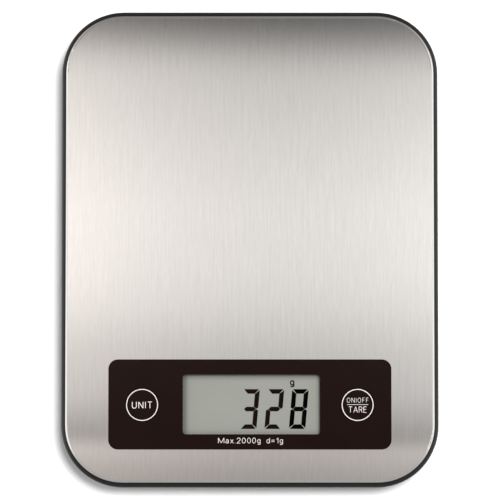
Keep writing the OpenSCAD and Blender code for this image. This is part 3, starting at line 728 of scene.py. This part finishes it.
class Glow(Wiring):
    """Wiring round an emission shader or a world's background, whose colour and strength it feeds. Its x and
    y are those of the place on a sheet, or of the direction looked in."""

    def __init__(self, tree, emitter, place):
        super().__init__(tree)
        self.emitter = emitter
        split = self.node("ShaderNodeSeparateXYZ")
        self.link(self.node("ShaderNodeTexCoord").outputs[place], split.inputs["Vector"])
        self.x, self.y = split.outputs["X"], split.outputs["Y"]

    def feed(self, socket, output):
        self.link(output, self.emitter.inputs[socket])

    def squared(self, value):
        return self.math("POWER", value, 2.0)

    def off(self, value, middle):
        """How far a value lies from a middle, to either side."""
        return self.math("ABSOLUTE", self.math("ADD", value, -middle))


def glowing_sheet(name, corners, height):
    """A level four-cornered sheet with an empty material, its Glow and the material's surface socket."""
    material = bpy.data.materials.new(name)
    material.use_nodes = True
    tree = material.node_tree
    tree.nodes.clear()
    surface = tree.nodes.new("ShaderNodeOutputMaterial").inputs["Surface"]
    glow = Glow(tree, tree.nodes.new("ShaderNodeEmission"), "Object")
    mesh = bpy.data.meshes.new(name)
    mesh.from_pydata([(x, y, height) for x, y in corners], [], [(0, 1, 2, 3)])
    mesh.materials.append(material)
    sheet = bpy.data.objects.new(name, mesh)
    scene.collection.objects.link(sheet)
    return sheet, glow, surface


def overhead_card():
    """Large soft card above the camera that only mirror-like surfaces see. It is brightest over the middle,
    fades to the front, drops off at the back and brightens to both sides, and the steel mirrors that."""
    y0, y1, half = CARD_STEPS[0][0], CARD_STEPS[-1][0], CARD_HALF_WIDTH
    corners = [(-half, y0), (-half, y1), (half, y1), (half, y0)]
    card, glow, surface = glowing_sheet("overhead_card", corners, CARD_HEIGHT)
    glow.link(glow.emitter.outputs["Emission"], surface)

    slanted = glow.math("MULTIPLY_ADD", glow.x, CARD_SLANT, glow.y)
    bow = glow.eased(glow.y, 0.15, 0.30, 0.0, CARD_BOW)
    bowed = glow.math("MULTIPLY_ADD", glow.squared(glow.off(glow.x, BOW_MIDDLE)), bow, slanted)
    ramp = glow.node("ShaderNodeValToRGB")
    glow.link(glow.math("DIVIDE", glow.math("SUBTRACT", bowed, y0), y1 - y0), ramp.inputs["Fac"])
    stops = ramp.color_ramp.elements
    while len(stops) < len(CARD_STEPS):
        stops.new(0.5)
    for stop, (y, value) in zip(stops, CARD_STEPS):
        stop.position = (y - y0) / (y1 - y0)
        tint = FRONT_TINT if y < FRONT_STRIP else (1.0, 1.0, 1.0)
        stop.color = (*(value * share for share in tint), 1.0)

    warm = glow.node("ShaderNodeMix", data_type="RGBA", blend_type="MULTIPLY")
    glow.link(glow.eased(glow.x, 0.05, -0.25, 0.0, 1.0), warm.inputs["Factor"])
    glow.link(ramp.outputs["Color"], warm.inputs[MIX_A])
    warm.inputs[MIX_B].default_value = (*LEFT_TINT, 1.0)
    glow.feed("Color", warm.outputs[MIX_RESULT])

    away = glow.math("MINIMUM", glow.off(glow.x, SIDE_MIDDLE), SIDE_LIMIT)
    glow.feed("Strength", glow.math("MULTIPLY_ADD", glow.squared(away), SIDE_GAIN, 1.015))
    card.visible_camera = False
    card.visible_diffuse = False
    card.visible_shadow = False


def lamp(name, place, size, energy):
    """A round area lamp aimed at the object, kept out of mirror-like surfaces, where it would be a spot."""
    data = bpy.data.lights.new(name, "AREA")
    data.shape, data.size, data.energy = "DISK", size, energy
    made = bpy.data.objects.new(name, data)
    made.location = place
    made.rotation_euler = (-made.location).to_track_quat("-Z", "Y").to_euler()
    made.visible_glossy = False
    scene.collection.objects.link(made)


def floor():
    """Pale floor that fades to an even white away from the object. It is clear from underneath and lets the
    low lamp through, so that views from below see the feet and the battery door."""
    reach = FLOOR_REACH
    corners = [(-reach, -reach), (reach, -reach), (reach, reach), (-reach, reach)]
    ground, glow, surface = glowing_sheet("floor", corners, 0.0)
    matt = glow.node("ShaderNodeBsdfDiffuse")
    matt.inputs["Color"].default_value = (0.90, 0.90, 0.90, 1.0)
    clear = glow.node("ShaderNodeBsdfTransparent")
    side = glow.node("ShaderNodeNewGeometry")

    def blended(fac, first, second):
        mix = glow.node("ShaderNodeMixShader")
        for output, socket in zip((fac, first, second), mix.inputs):
            glow.link(output, socket)
        return mix.outputs["Shader"]

    away = glow.math("SQRT", glow.math("ADD", glow.squared(glow.x), glow.squared(glow.y)))
    faded = blended(glow.eased(away, *FLOOR_FADE, 0.0, 1.0), matt.outputs["BSDF"],
                    glow.emitter.outputs["Emission"])
    glow.link(blended(side.outputs["Backfacing"], faded, clear.outputs["BSDF"]), surface)
    ground.visible_glossy = False
    ground.visible_shadow = False


def world_light():
    """Soft surroundings, bright to the left and right and dim to the front and back. The bright sides reach
    further up in mirror-like surfaces, for the light line along the steel's edge. The camera sees white."""
    world = bpy.data.worlds.new("studio")
    world.use_nodes = True
    tree = world.node_tree
    background = next(n for n in tree.nodes if n.type == "BACKGROUND")
    background.inputs["Color"].default_value = (1.0, 1.0, 1.0, 1.0)
    glow = Glow(tree, background, "Generated")
    rays = glow.node("ShaderNodeLightPath").outputs
    mirrored = rays["Is Glossy Ray"]

    def either(plain, extra):
        """A value that is plain to most rays, and has the extra added to it in mirror-like surfaces."""
        return glow.math("MULTIPLY_ADD", mirrored, extra, plain)

    dim = glow.eased(glow.y, -0.5, 0.5, either(0.45, 0.04), either(0.22, 0.07))
    # The light line fades out round the steel's corners
    turned = glow.eased(glow.math("ABSOLUTE", glow.y), 0.25, 0.60, 0.0, -0.65)
    bright = glow.math("ADD", glow.math("MULTIPLY", turned, mirrored), 1.25)
    sideways = glow.math("ABSOLUTE", glow.x)
    soft = glow.eased(sideways, either(0.45, -0.15), either(0.95, -0.20), dim, bright)
    glow.feed("Strength", glow.math("MAXIMUM", soft, rays["Is Camera Ray"]))
    scene.world = world


overhead_card()
# High up to the right and behind, which lays the short soft shadow to the left and the front
lamp("key_light", (0.27, 0.27, 1.40), 0.50, 24.0)
# Under the floor, for the views from below
lamp("low_light", (-0.5, -0.6, -1.2), 0.60, 30.0)
floor()
world_light()
scene.view_settings.view_transform = "Standard"
